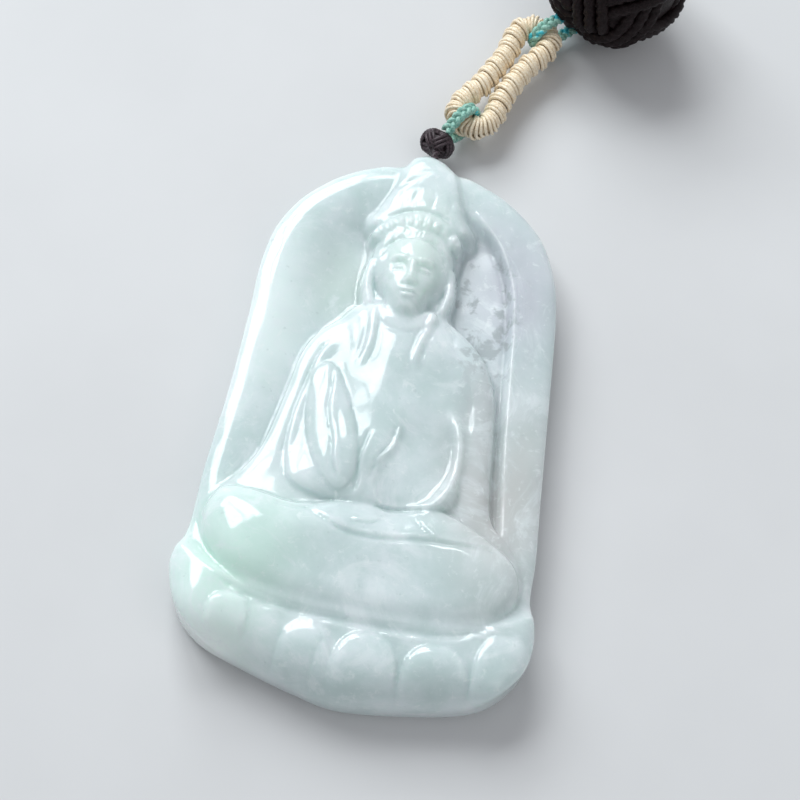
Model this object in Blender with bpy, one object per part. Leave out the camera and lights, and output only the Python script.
"""A carved jade plaque pendant on a knotted hanging cord, lying on its back.

The plaque is one stone: an arched niche with a seated figure on a lotus.
A thread loop runs through a curved channel at its apex into a small knot.
A teal ring joins that knot to a closed loop of wrapped beige cord, and a
second teal ring joins the beige loop to the large round knot of the neck cord.
The neck cord is wound into a coil, and its ends pass through a sliding knot.

Frame: metres, +Z up out of the carved face, +Y to the cord end, back on z = 0.
"""

import math

import bmesh
import bpy
import numpy as np
from mathutils import Matrix, Vector

MM = 0.001
GAP = 0.3
ROUND_ANGLE = 60.0
EDGED_ANGLE = 40.0

# The plaque, in millimetres.
APEX_Y = 29.0
OUTLINE = [
    (0.0, APEX_Y), (1.6, 28.5), (3.0, 27.5), (5.6, 26.6), (8.0, 25.4), (10.4, 23.6), (12.7, 21.0),
    (14.2, 17.6), (15.0, 13.5), (15.3, 7.0), (15.5, 0.0), (15.7, -7.0), (15.9, -13.0),
    (15.8, -16.8), (16.4, -19.6), (16.3, -22.3), (15.2, -24.6), (12.6, -26.9), (8.0, -28.1),
    (0.4, -28.9), (-4.0, -28.1), (-9.0, -26.6), (-13.2, -25.0), (-15.7, -22.6), (-16.9, -19.4),
    (-16.8, -17.6), (-16.1, -15.6), (-15.9, -9.0), (-15.3, -1.0), (-15.0, 7.0), (-14.9, 13.5),
    (-14.1, 17.8), (-12.4, 21.2), (-10.2, 23.6), (-7.8, 25.4), (-5.2, 26.6), (-2.8, 27.5),
    (-1.6, 28.5),
]
HEART = (0.0, -2.0)
BACK_BEVEL = 0.8
WALL_TOP = 3.0
EDGE_ROLL = 3.5
RIM_Z = 4.7
NICHE_Z = 3.4
NICHE_X = -1.2
NICHE_HALF = 12.3
NICHE_SPRING_Y = 13.0
NICHE_RISE = 12.5
NICHE_FOOT_Y = -17.0
NICHE_WALL = 1.0 / 7.0
NICHE_FOOT_RAMP = 2.0
OUTLINE_SIDES = 72
EDGE_INSETS = (0.0, 0.3, 0.8, 1.5)
FACE_RINGS = 15

# Each relief form: centre x, centre y, half width, half height, top z.
RELIEF = [
    (0.1, 13.3, 3.7, 4.7, 7.3),      # head
    (0.2, 18.4, 4.0, 3.4, 7.0),      # crown
    (0.1, 23.6, 2.9, 5.6, 6.4),      # topknot
    (0.1, 7.6, 3.0, 4.0, 5.6),       # neck
    (0.2, 0.5, 9.2, 6.9, 6.6),       # shoulders and chest
    (-8.4, -4.0, 3.4, 7.4, 6.5),     # sleeve
    (8.6, -4.0, 3.2, 7.4, 6.5),      # other sleeve
    (0.2, -7.6, 5.2, 3.6, 7.2),      # joined hands
    (0.2, -15.2, 14.6, 6.6, 7.4),    # crossed legs
]
LOTUS_Z = 5.6
LOTUS_TOP_Y = -17.0
PETALS = [(-12.6, -21.0, 3.4, 3.6), (-7.0, -23.6, 3.5, 3.3), (-0.6, -24.9, 3.7, 3.3),
          (6.4, -24.7, 3.6, 3.2), (12.6, -22.8, 3.0, 3.6)]
PETAL_Z = 6.5
PETAL_FOOT = 0.3

# The thread loop at the apex and the small knot above it.
THREAD_X = 0.5
SWING_AT = (THREAD_X, 27.8, 2.4)
THREAD_BEND = 1.9
THREAD_R = 0.45
THREAD_ARC = (36.0, 324.0)
CHANNEL_ARC = (0.0, 345.0)
KNOT_AT = (THREAD_X, 31.6, 2.4)
KNOT_R = 1.9

# The beige loop lies between its two eye centres.
CHAIN_Z = 2.85
LOWER_EYE = (3.86, 35.95, CHAIN_Z)
UPPER_EYE = (8.94, 46.72, CHAIN_Z)
EYE_BEND = 1.9
LEG_HALF = 1.32
WRAP_R = 1.15
WRAP_BORE = 0.85
WRAP_START = 20
CORE_R = 0.55
TEAL_R = 0.45
LOWER_TEAL_ARC = (38.0, 310.0)
UPPER_TEAL_ARC = (88.0, 270.0)
UPPER_TEAL_LEG = (1.0, 2.1, 3.2)

# The neck cord.
BALL_AT = (16.7, 53.5, 8.2)
BALL_R = 8.15
CORD_R = 1.25
COIL_AT = (18.0, 88.0)
COIL_OUTER = 18.2
COIL_INNER = 7.6
COIL_TOP = 7.6
COIL_CORNER = 2.0
COIL_LIFT = 0.05
COIL_SIDES = 40
SLIDER_AT = (18.0, 116.3, 2.55)
SLIDER_LENGTH = 12.5
SLIDER_BORE = (2.95, 1.55)
SLIDER_OUTER = (3.95, 2.5)
SLIDER_ROLL = (0.6, 0.7)
OVAL_POWER = 3.0
END_KNOT_R = 2.2
LEFT_END_AT = (32.9, 119.2, 2.3)
RIGHT_END_AT = (2.9, 113.4, 2.3)
LEFT_LEAD = [(14.2, 61.9, 5.0), (12.6, 64.6, 4.0), (10.9, 67.4, 2.9), (9.4, 70.0, 2.1)]
RIGHT_LEAD = [(18.2, 62.3, 5.2), (16.2, 65.0, 5.0), (14.1, 67.2, 4.8), (12.4, 68.8, 4.6)]
LEFT_TAIL = [
    (-3.2, 91.5, 5.0), (-5.6, 97.0, 2.4), (-6.8, 103.0, 1.35), (-6.4, 109.0, 1.35),
    (-3.6, 114.3, 1.45), (1.2, 117.6, 1.9), (5.2, 118.0, 2.4), (8.5, 117.7, 2.55),
    (13.0, 117.7, 2.55), (18.0, 117.7, 2.55), (23.0, 117.7, 2.55), (27.5, 117.7, 2.55),
    (30.6, 118.4, 2.45),
]
RIGHT_TAIL = [
    (29.8, 104.6, 4.6), (33.2, 105.5, 2.8), (35.9, 108.1, 1.5), (36.1, 111.6, 1.6),
    (33.9, 114.2, 2.1), (30.9, 114.9, 2.5), (27.5, 114.9, 2.55), (23.0, 114.9, 2.55),
    (18.0, 114.9, 2.55), (13.0, 114.9, 2.55), (8.5, 114.9, 2.55), (5.2, 114.2, 2.45),
]

JADE = (0.80, 0.88, 0.83)
BROWN = (0.045, 0.022, 0.022)
BEIGE = (0.72, 0.62, 0.42)
TEAL = (0.16, 0.45, 0.42)


def clear_scene():
    for item in list(bpy.data.objects):
        bpy.data.objects.remove(item, do_unlink=True)


def material(name, colour, roughness):
    made = bpy.data.materials.new(name)
    made.use_nodes = True
    shader = made.node_tree.nodes["Principled BSDF"]
    shader.inputs["Base Color"].default_value = (*colour, 1.0)
    shader.inputs["Roughness"].default_value = roughness
    shader.inputs["Metallic"].default_value = 0.0
    return made


def in_metres(point):
    return Vector(point) * MM


def add_object(name, data, finish, origin=(0.0, 0.0, 0.0), parent=None):
    """Link an object whose data is in metres about its origin, given in millimetres."""
    made = bpy.data.objects.new(name, data)
    bpy.context.collection.objects.link(made)
    made.location = in_metres(origin)
    made.data.materials.append(finish)
    if parent is not None:
        made.parent = parent
        made.location = in_metres(origin) - parent.location
    return made


def joint_empty(name, place, parent=None):
    made = bpy.data.objects.new(name, None)
    bpy.context.collection.objects.link(made)
    made.empty_display_size = 0.004
    made.location = in_metres(place)
    if parent is not None:
        made.parent = parent
        made.location = in_metres(place) - parent.location
    return made


def finish_mesh(form, name, angle):
    """Close a bmesh into a mesh with outward faces and smooth shading."""
    bmesh.ops.recalc_face_normals(form, faces=form.faces)
    data = bpy.data.meshes.new(name)
    form.to_mesh(data)
    form.free()
    data.shade_smooth()
    data.set_sharp_from_angle(angle=math.radians(angle))
    return data


def smooth_curve(points, per_span, closed=False):
    """Points of a Catmull-Rom curve through the given ones."""
    fixed = np.array(points, float)
    count = len(fixed)
    spans = count if closed else count - 1
    found = []
    for i in range(spans):
        if closed:
            four = [fixed[(i + k) % count] for k in (-1, 0, 1, 2)]
        else:
            four = [fixed[min(max(i + k, 0), count - 1)] for k in (-1, 0, 1, 2)]
        for step in range(per_span):
            t = step / per_span
            a, b, c, d = four
            found.append(0.5 * (2 * b + (c - a) * t + (2 * a - 5 * b + 4 * c - d) * t ** 2
                                + (3 * b - a - 3 * c + d) * t ** 3))
    if not closed:
        found.append(fixed[-1])
    return np.array(found)


def resample(points, count, closed=False):
    """The same line with evenly spaced points."""
    line = np.vstack([points, points[:1]]) if closed else np.array(points)
    steps = np.linalg.norm(np.diff(line, axis=0), axis=1)
    along = np.concatenate([[0.0], np.cumsum(steps)])
    places = np.linspace(0.0, along[-1], count + 1 if closed else count)
    even = np.stack([np.interp(places, along, line[:, k]) for k in range(line.shape[1])], axis=1)
    return even[:-1] if closed else even


def cross_rings(form, path, radius, sides, closed):
    """Rings of vertices square to a path, turned as little as possible along it."""
    count = len(path)
    tangents = []
    for i in range(count):
        before = path[(i - 1) % count] if closed else path[max(i - 1, 0)]
        after = path[(i + 1) % count] if closed else path[min(i + 1, count - 1)]
        tangents.append((Vector(after) - Vector(before)).normalized())
    side = tangents[0].cross(Vector((0.0, 0.0, 1.0)))
    if side.length < 0.1:
        side = tangents[0].cross(Vector((0.0, 1.0, 0.0)))
    rings = []
    for place, tangent in zip(path, tangents):
        side = (side - tangent * side.dot(tangent)).normalized()
        other = tangent.cross(side)
        ring = []
        for k in range(sides):
            turn = 2.0 * math.pi * k / sides
            spoke = side * math.cos(turn) + other * math.sin(turn)
            ring.append(form.verts.new((Vector(place) + spoke * radius) * MM))
        rings.append(ring)
    return rings


def bridge(form, first, second):
    sides = len(first)
    for k in range(sides):
        form.faces.new((first[k], first[(k + 1) % sides], second[(k + 1) % sides], second[k]))


def rod_mesh(name, path, radius, sides=8, closed=False, bore=None):
    """A round rod along a path in millimetres, solid or with a bore right through."""
    form = bmesh.new()
    outer = cross_rings(form, path, radius, sides, closed)
    inner = cross_rings(form, path, bore, sides, closed) if bore else None
    spans = len(path) if closed else len(path) - 1
    for i in range(spans):
        bridge(form, outer[i], outer[(i + 1) % len(path)])
        if inner:
            bridge(form, inner[(i + 1) % len(path)], inner[i])
    if not closed and inner:
        bridge(form, inner[0], outer[0])
        bridge(form, outer[-1], inner[-1])
    if not closed and not inner:
        form.faces.new(outer[0])
        form.faces.new(outer[-1])
    return finish_mesh(form, name, ROUND_ANGLE)


def about(path, origin):
    """A path in the frame of an object whose origin is given."""
    return [tuple(np.array(p) - np.array(origin)) for p in path]


def niche_depth(x, y):
    """1 on the niche floor and 0 on the rim, with a short smooth wall between."""
    high = max(y - NICHE_SPRING_Y, 0.0) / NICHE_RISE
    reach = math.hypot((x - NICHE_X) / NICHE_HALF, high)
    t = min(max((1.0 - reach) / NICHE_WALL, 0.0), 1.0)
    low = min(max((y - NICHE_FOOT_Y) / NICHE_FOOT_RAMP, 0.0), 1.0)
    return t * t * (3.0 - 2.0 * t) * low


def dome(x, y, form, foot):
    """Height of one rounded relief form, or its foot height outside it."""
    cx, cy, half_x, half_y, top = form
    reach = ((x - cx) / half_x) ** 2 + ((y - cy) / half_y) ** 2
    return foot + (top - foot) * math.sqrt(1.0 - reach) if reach < 1.0 else foot


def face_height(x, y, inset):
    """Height of the carved face at a point, an inset in from the outline."""
    z = RIM_Z + (NICHE_Z - RIM_Z) * niche_depth(x, y)
    for form in RELIEF:
        z = max(z, dome(x, y, form, NICHE_Z))
    if y < LOTUS_TOP_Y:
        z = max(z, LOTUS_Z)
        for petal in PETALS:
            z = max(z, dome(x, y, (*petal, PETAL_Z), LOTUS_Z - PETAL_FOOT))
    roll = min(inset / EDGE_ROLL, 1.0)
    return min(z, WALL_TOP + EDGE_ROLL * math.sqrt(1.0 - (1.0 - roll) ** 2)) if roll < 1.0 else z


def plaque_mesh():
    """The stone: a flat back, bevelled edge, upright wall and carved face."""
    edge = resample(smooth_curve(OUTLINE, 6, closed=True), OUTLINE_SIDES, closed=True)
    heart = np.array(HEART)
    spokes = edge - heart
    reach = np.linalg.norm(spokes, axis=1)
    form = bmesh.new()

    def ring(insets, heights):
        places = heart + spokes * (1.0 - insets / reach)[:, None]
        return [form.verts.new((p[0] * MM, p[1] * MM, z * MM)) for p, z in zip(places, heights)]

    flat = np.zeros(OUTLINE_SIDES)
    rings = [ring(flat + BACK_BEVEL, flat), ring(flat, flat + BACK_BEVEL)]
    depths = [flat + inset for inset in EDGE_INSETS]
    for k in range(1, FACE_RINGS):
        share = k / FACE_RINGS
        depths.append(EDGE_INSETS[-1] + (reach - EDGE_INSETS[-1]) * share)
    for depth in depths:
        places = heart + spokes * (1.0 - depth / reach)[:, None]
        heights = [face_height(p[0], p[1], d) for p, d in zip(places, depth)]
        rings.append(ring(depth, heights))
    for first, second in zip(rings, rings[1:]):
        bridge(form, first, second)
    form.faces.new(rings[0])
    middle = form.verts.new((heart[0] * MM, heart[1] * MM, face_height(*HEART, EDGE_ROLL) * MM))
    for k in range(OUTLINE_SIDES):
        form.faces.new((rings[-1][k], rings[-1][(k + 1) % OUTLINE_SIDES], middle))
    return finish_mesh(form, "jade_pendant", EDGED_ANGLE)


def cutter(name, data, origin, parent):
    made = bpy.data.objects.new(name, data)
    bpy.context.collection.objects.link(made)
    made.parent = parent
    made.location = in_metres(origin) - parent.location
    made.hide_render = True
    made.display_type = "WIRE"
    return made


def arc(centre, along, radius, start, end, count):
    """Points of an arc in the upright plane of a horizontal direction, angles in degrees."""
    found = []
    for angle in np.radians(np.linspace(start, end, count)):
        out = radius * math.cos(angle)
        found.append((centre[0] + along[0] * out, centre[1] + along[1] * out,
                      centre[2] + radius * math.sin(angle)))
    return found


def unit(start, end):
    """The horizontal unit direction from one place to another."""
    step = np.array(end[:2], float) - np.array(start[:2], float)
    return step / np.linalg.norm(step)


def make_pendant(parent, jade):
    stone = plaque_mesh()
    stone.transform(Matrix.Translation(-in_metres(SWING_AT)))
    made = add_object("jade_pendant", stone, jade, SWING_AT, parent)
    ring = arc((0.0, 0.0, 0.0), (0.0, 1.0), THREAD_BEND, *CHANNEL_ARC, 24)
    channel = rod_mesh("thread_channel", ring, THREAD_R + GAP, 8, closed=True)
    cut = made.modifiers.new("thread_channel", "BOOLEAN")
    cut.operation = "DIFFERENCE"
    cut.object = cutter("thread_channel_cutter", channel, SWING_AT, parent)
    return made


def knot_mesh(name, radius, columns=14, rows=9):
    form = bmesh.new()
    bmesh.ops.create_uvsphere(form, u_segments=columns, v_segments=rows, radius=radius * MM)
    return finish_mesh(form, name, ROUND_ANGLE)


def make_lower_link(parent, brown, teal):
    """The thread loop, the small knot and the lower teal ring turn together."""
    thread = arc(SWING_AT, (0.0, 1.0), THREAD_BEND, *THREAD_ARC, 24)
    mesh = rod_mesh("thread_loop", about(thread, LOWER_EYE), THREAD_R, 8)
    add_object("thread_loop", mesh, brown, LOWER_EYE, parent)
    add_object("hanging_knot", knot_mesh("hanging_knot", KNOT_R), brown, KNOT_AT, parent)
    towards = unit(LOWER_EYE, KNOT_AT)
    bend = (LOWER_EYE[0] + towards[0] * EYE_BEND, LOWER_EYE[1] + towards[1] * EYE_BEND, CHAIN_Z)
    ring = arc(bend, towards, EYE_BEND, *LOWER_TEAL_ARC, 24)
    mesh = rod_mesh("lower_teal_ring", about(ring, LOWER_EYE), TEAL_R, 8)
    add_object("lower_teal_ring", mesh, teal, LOWER_EYE, parent)


def beige_path(count):
    """The closed centre line of the beige loop: two eyes joined by two close legs."""
    run = unit(LOWER_EYE, UPPER_EYE)
    side = np.array((run[1], -run[0]))
    length = math.dist(LOWER_EYE[:2], UPPER_EYE[:2])
    half = []
    for angle in np.radians(np.arange(-90, 1, 15)):
        half.append((EYE_BEND * math.sin(angle), EYE_BEND * math.cos(angle)))
    half.append((1.5, EYE_BEND - 0.12))
    half.append((3.4, LEG_HALF + 0.05))
    half.append((length / 2.0, LEG_HALF))
    mirror = [(length - a, b) for a, b in reversed(half[:-1])]
    right = half + mirror
    left = [(a, -b) for a, b in reversed(right[1:-1])]
    flat = smooth_curve(right + left, 4, closed=True)
    start = np.array(LOWER_EYE[:2])
    places = [start + run * a + side * b for a, b in flat]
    even = resample(np.array(places), count, closed=True)
    return [(p[0], p[1], CHAIN_Z) for p in even]


def make_beige_loop(parent, beige):
    pivot = loop_pivot()
    core = about(beige_path(44), pivot)
    add_object("beige_core_loop", rod_mesh("beige_core_loop", core, CORE_R, 8, closed=True),
               beige, pivot, parent)
    # The wrapping strand starts and ends at one place, beside the upper eye.
    around = beige_path(48)
    wrapped = [around[(WRAP_START + k) % len(around)] for k in range(len(around) - 1)]
    add_object("beige_wrap", rod_mesh("beige_wrap", about(wrapped, pivot), WRAP_R, 10,
                                      bore=WRAP_BORE), beige, pivot, parent)


def loop_pivot():
    """The lifting axis runs through the cord at the tip of the upper eye."""
    run = unit(LOWER_EYE, UPPER_EYE)
    return (UPPER_EYE[0] + run[0] * EYE_BEND, UPPER_EYE[1] + run[1] * EYE_BEND, CHAIN_Z)


def make_upper_link(brown, teal):
    towards = unit(UPPER_EYE, BALL_AT)
    bend = (UPPER_EYE[0] + towards[0] * EYE_BEND, UPPER_EYE[1] + towards[1] * EYE_BEND, CHAIN_Z)
    ring = arc(bend, towards, EYE_BEND, *UPPER_TEAL_ARC, 17)
    foot = np.array(ring[-1])
    for reach in UPPER_TEAL_LEG:
        ring.append(tuple(foot + np.array((towards[0] * reach, towards[1] * reach, 0.0))))
    mesh = rod_mesh("upper_teal_ring", about(ring, UPPER_EYE), TEAL_R, 8)
    add_object("upper_teal_ring", mesh, teal, UPPER_EYE)
    add_object("ball_knot", knot_mesh("ball_knot", BALL_R, 24, 15), brown, BALL_AT)


def cord(name, points, brown):
    """A round cord: a curve with a bevel, on a smooth line through its points."""
    rough = smooth_curve(points, 12)
    length = float(np.linalg.norm(np.diff(rough, axis=0), axis=1).sum())
    line = resample(rough, max(4, round(length / (CORD_R * 4.0)) + 1))
    curve = bpy.data.curves.new(name, "CURVE")
    curve.dimensions = "3D"
    curve.bevel_depth = CORD_R * MM
    curve.bevel_resolution = 2
    curve.render_resolution_u = 0
    curve.use_fill_caps = True
    spline = curve.splines.new("POLY")
    spline.points.add(len(line) - 1)
    for point, place in zip(spline.points, line):
        point.co = (*(place * MM), 1.0)
    add_object(name, curve, brown)


def coil_mesh():
    """The outer shape of the wound cord: a turned ring with rounded edges."""
    mid = 0.5 * (COIL_OUTER + COIL_INNER)
    half = 0.5 * (COIL_OUTER - COIL_INNER)
    profile = []
    for quarter, (side, level) in enumerate(((1, 1), (1, -1), (-1, -1), (-1, 1))):
        for step in range(4):
            angle = math.radians(90.0 - 90.0 * quarter - 30.0 * step)
            r = mid + side * (half - COIL_CORNER) + COIL_CORNER * math.cos(angle)
            z = 0.5 * COIL_TOP + level * (0.5 * COIL_TOP - COIL_CORNER)
            profile.append((r, z + COIL_CORNER * math.sin(angle) + COIL_LIFT))
    form = bmesh.new()
    rings = []
    for k in range(COIL_SIDES):
        angle = 2.0 * math.pi * k / COIL_SIDES
        place = (math.cos(angle), math.sin(angle))
        rings.append([form.verts.new((r * place[0] * MM, r * place[1] * MM, z * MM))
                      for r, z in profile])
    for k in range(COIL_SIDES):
        bridge(form, rings[k], rings[(k + 1) % COIL_SIDES])
    return finish_mesh(form, "neck_cord_coil", EDGED_ANGLE)


def oval(form, half_wide, half_high, x, sides=20):
    ring = []
    for k in range(sides):
        angle = 2.0 * math.pi * k / sides
        c, s = math.cos(angle), math.sin(angle)
        bulge = (abs(c) ** OVAL_POWER + abs(s) ** OVAL_POWER) ** (-1.0 / OVAL_POWER)
        ring.append(form.verts.new((x * MM, half_wide * bulge * c * MM, half_high * bulge * s * MM)))
    return ring


def slider_mesh():
    """The sliding knot: an oval sleeve round both cords, with rounded ends."""
    half = 0.5 * SLIDER_LENGTH
    form = bmesh.new()
    outer = []
    run, drop = SLIDER_ROLL
    for x, less in ((-half, drop), (run - half, 0.0), (half - run, 0.0), (half, drop)):
        outer.append(oval(form, SLIDER_OUTER[0] - less, SLIDER_OUTER[1] - less, x))
    inner = [oval(form, *SLIDER_BORE, x) for x in (-half, half)]
    for first, second in zip(outer, outer[1:]):
        bridge(form, first, second)
    bridge(form, inner[1], inner[0])
    bridge(form, inner[0], outer[0])
    bridge(form, outer[-1], inner[1])
    return finish_mesh(form, "sliding_knot", EDGED_ANGLE)


def make_neck_cord(brown):
    cord("neck_cord_left_lead", LEFT_LEAD, brown)
    cord("neck_cord_right_lead", RIGHT_LEAD, brown)
    add_object("neck_cord_coil", coil_mesh(), brown, (*COIL_AT, 0.0))
    cord("neck_cord_left_tail", LEFT_TAIL, brown)
    cord("neck_cord_right_tail", RIGHT_TAIL, brown)
    add_object("sliding_knot", slider_mesh(), brown, SLIDER_AT)
    for name, place in (("left_end_knot", LEFT_END_AT), ("right_end_knot", RIGHT_END_AT)):
        add_object(name, knot_mesh(name, END_KNOT_R), brown, place)


def main():
    clear_scene()
    jade = material("jade", JADE, 0.12)
    brown = material("brown_cord", BROWN, 0.6)
    beige = material("beige_cord", BEIGE, 0.55)
    teal = material("teal_cord", TEAL, 0.55)
    loop_lift = joint_empty("loop_lift_axis", loop_pivot())
    pendant_yaw = joint_empty("pendant_yaw_axis", LOWER_EYE)
    pendant_swing = joint_empty("pendant_swing_axis", SWING_AT)
    make_pendant(pendant_swing, jade)
    make_lower_link(pendant_yaw, brown, teal)
    make_beige_loop(loop_lift, beige)
    make_upper_link(brown, teal)
    make_neck_cord(brown)


main()
